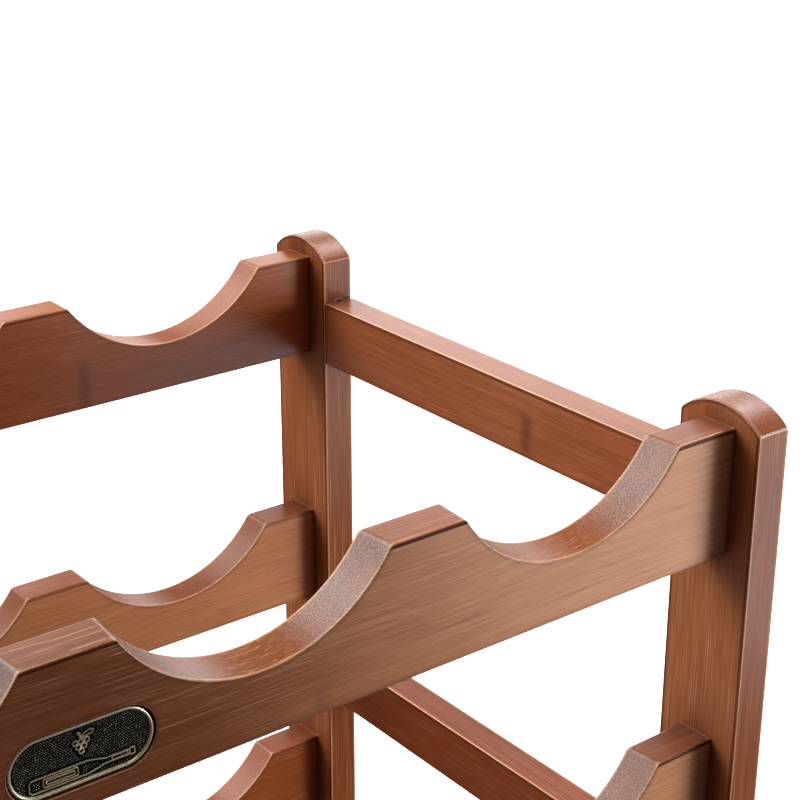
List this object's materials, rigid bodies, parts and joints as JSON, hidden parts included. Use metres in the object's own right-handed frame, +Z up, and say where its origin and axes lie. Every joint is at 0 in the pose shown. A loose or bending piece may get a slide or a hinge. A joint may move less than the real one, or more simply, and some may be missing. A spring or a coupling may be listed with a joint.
{
  "type": "wine rack",
  "caption": "Free-standing bamboo rack of stacked tiers: scalloped front and back rails between crowned posts cradle wine bottles on their sides.",
  "frame": {"origin": "on the floor, under the middle of the rack", "axes": "+X runs along the rails to the right as seen from the front, +Y from the front to the back, +Z up"},
  "size_m": [0.4468, 0.239, 0.3816],
  "materials": {
    "bamboo": "dark carbonised bamboo, satin lacquer, straight fine grain along each piece",
    "dowel_wood": "plain beech dowel",
    "screw_steel": "black oxide steel",
    "badge_metal": "brass rim and emblem on a black knurled field",
    "foam": "matt foam tape"
  },
  "bodies": {
    "root": {"front_rail_tier_1": "bamboo", "front_rail_tier_2": "bamboo", "front_rail_tier_3": "bamboo", "front_rail_tier_4": "bamboo", "back_rail_tier_1": "bamboo", "back_rail_tier_2": "bamboo", "back_rail_tier_3": "bamboo", "back_rail_tier_4": "bamboo", "front_left_post": "bamboo", "screw_front_left_1": "screw_steel", "dowel_front_left_1": "dowel_wood", "screw_front_left_2": "screw_steel", "dowel_front_left_2": "dowel_wood", "screw_front_left_3": "screw_steel", "dowel_front_left_3": "dowel_wood", "screw_front_left_4": "screw_steel", "dowel_front_left_4": "dowel_wood", "back_left_post": "bamboo", "screw_back_left_1": "screw_steel", "dowel_back_left_1": "dowel_wood", "screw_back_left_2": "screw_steel", "dowel_back_left_2": "dowel_wood", "screw_back_left_3": "screw_steel", "dowel_back_left_3": "dowel_wood", "screw_back_left_4": "screw_steel", "dowel_back_left_4": "dowel_wood", "left_side_rail_bottom": "bamboo", "left_side_rail_middle": "bamboo", "left_side_rail_top": "bamboo", "front_right_post": "bamboo", "screw_front_right_1": "screw_steel", "dowel_front_right_1": "dowel_wood", "screw_front_right_2": "screw_steel", "dowel_front_right_2": "dowel_wood", "screw_front_right_3": "screw_steel", "dowel_front_right_3": "dowel_wood", "screw_front_right_4": "screw_steel", "dowel_front_right_4": "dowel_wood", "back_right_post": "bamboo", "screw_back_right_1": "screw_steel", "dowel_back_right_1": "dowel_wood", "screw_back_right_2": "screw_steel", "dowel_back_right_2": "dowel_wood", "screw_back_right_3": "screw_steel", "dowel_back_right_3": "dowel_wood", "screw_back_right_4": "screw_steel", "dowel_back_right_4": "dowel_wood", "right_side_rail_bottom": "bamboo", "right_side_rail_middle": "bamboo", "right_side_rail_top": "bamboo", "badge_plate": "badge_metal", "badge_adhesive_pad": "foam"}
  },
  "joints": []
}
